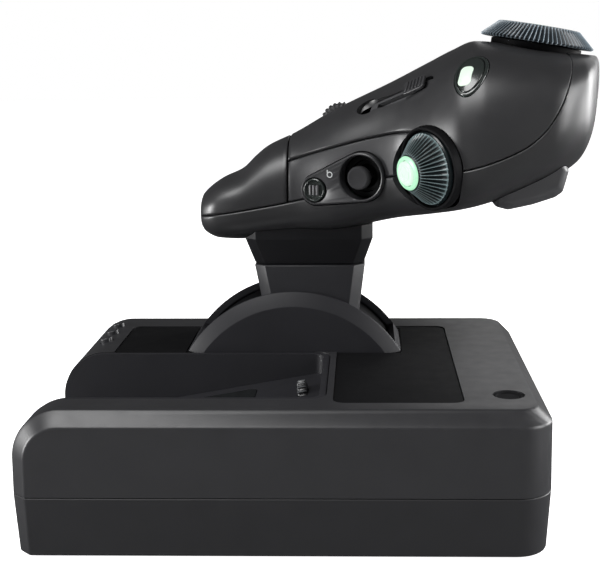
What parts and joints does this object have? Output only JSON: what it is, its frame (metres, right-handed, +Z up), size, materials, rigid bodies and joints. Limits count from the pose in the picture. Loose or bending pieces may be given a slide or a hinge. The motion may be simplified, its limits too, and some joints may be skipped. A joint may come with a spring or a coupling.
{
  "type": "flight-control throttle unit",
  "caption": "Desk throttle for flight simulation: a wedge-fronted base with a display well and a friction lever that carries a hand grip with thumb knob, mini stick, dial and slide control.",
  "frame": {"origin": "middle of the box that holds the whole unit, at desk level", "axes": "+X away from the seated user, +Y to the user's left, +Z up"},
  "size_m": [0.2004, 0.141, 0.1718],
  "materials": {
    "case": "fine satin grain, charcoal",
    "deck": "satin, near black",
    "grip": "soft-touch satin, charcoal",
    "knob": "satin slate blue-grey",
    "lit": "lit pale green lens",
    "rubber": "matte rubber",
    "window": "dark glossy display window",
    "board": "printed circuit board",
    "metal": "plain zinc-plated steel",
    "gear": "natural acetal plastic"
  },
  "bodies": {
    "base": {"base_tray": "case", "base_cover": "case", "deck_plate": "deck", "slot_hood": "deck", "display_housing": "deck", "display_window": "window", "display_module": "board", "pivot_frame": "metal", "pivot_axle": "metal", "axle_nut": "metal", "friction_washer": "rubber", "lever_pot": "metal", "controller_board": "board", "link_socket": "rubber", "deck_plug": "rubber", "foot_1": "rubber", "foot_2": "rubber", "foot_3": "rubber", "foot_4": "rubber", "case_screw_1": "metal", "case_screw_2": "metal", "case_screw_3": "metal", "case_screw_4": "metal"},
    "lever": {"lever_arm": "metal", "bush_near": "gear", "bush_far": "gear", "sector_gear": "gear", "slot_shield": "deck", "lever_neck": "grip", "neck_collar": "grip", "lower_shell": "grip", "palm_cover": "grip", "top_cover": "grip", "thumb_panel": "grip", "thumb_bezel": "grip", "finger_rest": "grip", "knob_well": "deck", "knob_pot": "metal", "dial_base": "deck", "dial_pot": "metal", "stick_module": "metal", "grip_board": "board", "slide_pot": "deck", "lamp_bezel": "deck"},
    "pot_pinion": {"pot_pinion": "gear"},
    "thumb_knob": {"thumb_knob": "knob"},
    "knob_button": {"knob_button": "lit"},
    "top_dial": {"top_dial": "knob"},
    "dial_button": {"dial_button": "lit"},
    "stick_gimbal": {"stick_gimbal": "metal"},
    "thumb_stick": {"thumb_stick": "rubber"},
    "thumb_button": {"thumb_button": "deck"},
    "slider_cap": {"slider_cap": "grip"},
    "lamp_button": {"lamp_button": "lit"},
    "scroll_wheel": {"scroll_wheel": "rubber"},
    "display_wheel_rear": {"display_wheel_rear": "knob"},
    "display_wheel_front": {"display_wheel_front": "knob"},
    "mode_button_1": {"mode_button_1": "gear"},
    "mode_button_2": {"mode_button_2": "gear"},
    "mode_button_3": {"mode_button_3": "gear"}
  },
  "joints": [
    {"name": "lever_swing", "type": "hinge", "parent": "base", "child": "lever", "pos_m": [-0.0132, 0.02815, 0.0239], "axis": [0, 1, 0], "range_deg": [-37, 18]},
    {"name": "pinion_spin", "type": "hinge", "parent": "base", "child": "pot_pinion", "pos_m": [0.00343, 0.041, 0.0335], "axis": [0, 1, 0], "range_deg": [-54, 111]},
    {"name": "knob_turn", "type": "hinge", "parent": "lever", "child": "thumb_knob", "pos_m": [0.03646, -0.01738, 0.12061], "axis": [-0.8229, -0.555, -0.1219], "range_deg": [-135, 135]},
    {"name": "knob_push", "type": "slide", "parent": "thumb_knob", "child": "knob_button", "axis": [0.8229, 0.555, 0.1219], "range_m": [0, 0.0008], "stiffness_N_per_m": 800},
    {"name": "dial_turn", "type": "hinge", "parent": "lever", "child": "top_dial", "pos_m": [0.0768, 0.01765, 0.1612], "axis": [0.165, 0, 0.9863], "range_deg": [-135, 135]},
    {"name": "dial_push", "type": "slide", "parent": "top_dial", "child": "dial_button", "axis": [-0.165, 0, -0.9863], "range_m": [0, 0.0008], "stiffness_N_per_m": 800},
    {"name": "stick_side", "type": "hinge", "parent": "lever", "child": "stick_gimbal", "pos_m": [0.01499, 0.00264, 0.116], "axis": [0.9272, -0.3746, 0], "range_deg": [-15, 15], "stiffness_Nm_per_rad": 0.02},
    {"name": "stick_lift", "type": "hinge", "parent": "stick_gimbal", "child": "thumb_stick", "pos_m": [0.01499, 0.00264, 0.116], "axis": [0, 0, 1], "range_deg": [-15, 15], "stiffness_Nm_per_rad": 0.02},
    {"name": "thumb_push", "type": "slide", "parent": "lever", "child": "thumb_button", "axis": [0.3746, 0.9272, 0], "range_m": [0, 0.0009], "stiffness_N_per_m": 800},
    {"name": "slide_move", "type": "slide", "parent": "lever", "child": "slider_cap", "axis": [0.7689, -0.5297, 0.358], "range_m": [-0.01635, 0.00165]},
    {"name": "lamp_push", "type": "slide", "parent": "lever", "child": "lamp_button", "axis": [0.4501, 0.5855, -0.6742], "range_m": [0, 0.0008], "stiffness_N_per_m": 800},
    {"name": "scroll_turn", "type": "hinge", "parent": "lever", "child": "scroll_wheel", "pos_m": [0.00492, 0.02959, 0.1333], "axis": [-0.0977, -0.9939, -0.0505], "continuous": true},
    {"name": "display_wheel_rear_turn", "type": "hinge", "parent": "base", "child": "display_wheel_rear", "pos_m": [-0.00834, -0.0155, 0.03887], "axis": [0.9848, 0, 0.1736], "continuous": true},
    {"name": "display_wheel_front_turn", "type": "hinge", "parent": "base", "child": "display_wheel_front", "pos_m": [-0.08812, -0.0155, 0.02481], "axis": [0.9848, 0, 0.1736], "continuous": true},
    {"name": "mode_push_1", "type": "slide", "parent": "base", "child": "mode_button_1", "axis": [0.225, 0, -0.9744], "range_m": [0, 0.001], "stiffness_N_per_m": 800},
    {"name": "mode_push_2", "type": "slide", "parent": "base", "child": "mode_button_2", "axis": [0.225, 0, -0.9744], "range_m": [0, 0.001], "stiffness_N_per_m": 800},
    {"name": "mode_push_3", "type": "slide", "parent": "base", "child": "mode_button_3", "axis": [0.225, 0, -0.9744], "range_m": [0, 0.001], "stiffness_N_per_m": 800}
  ],
  "couplings": [
    {"joint": "pinion_spin", "follows": "lever_swing", "ratio": -3}
  ]
}
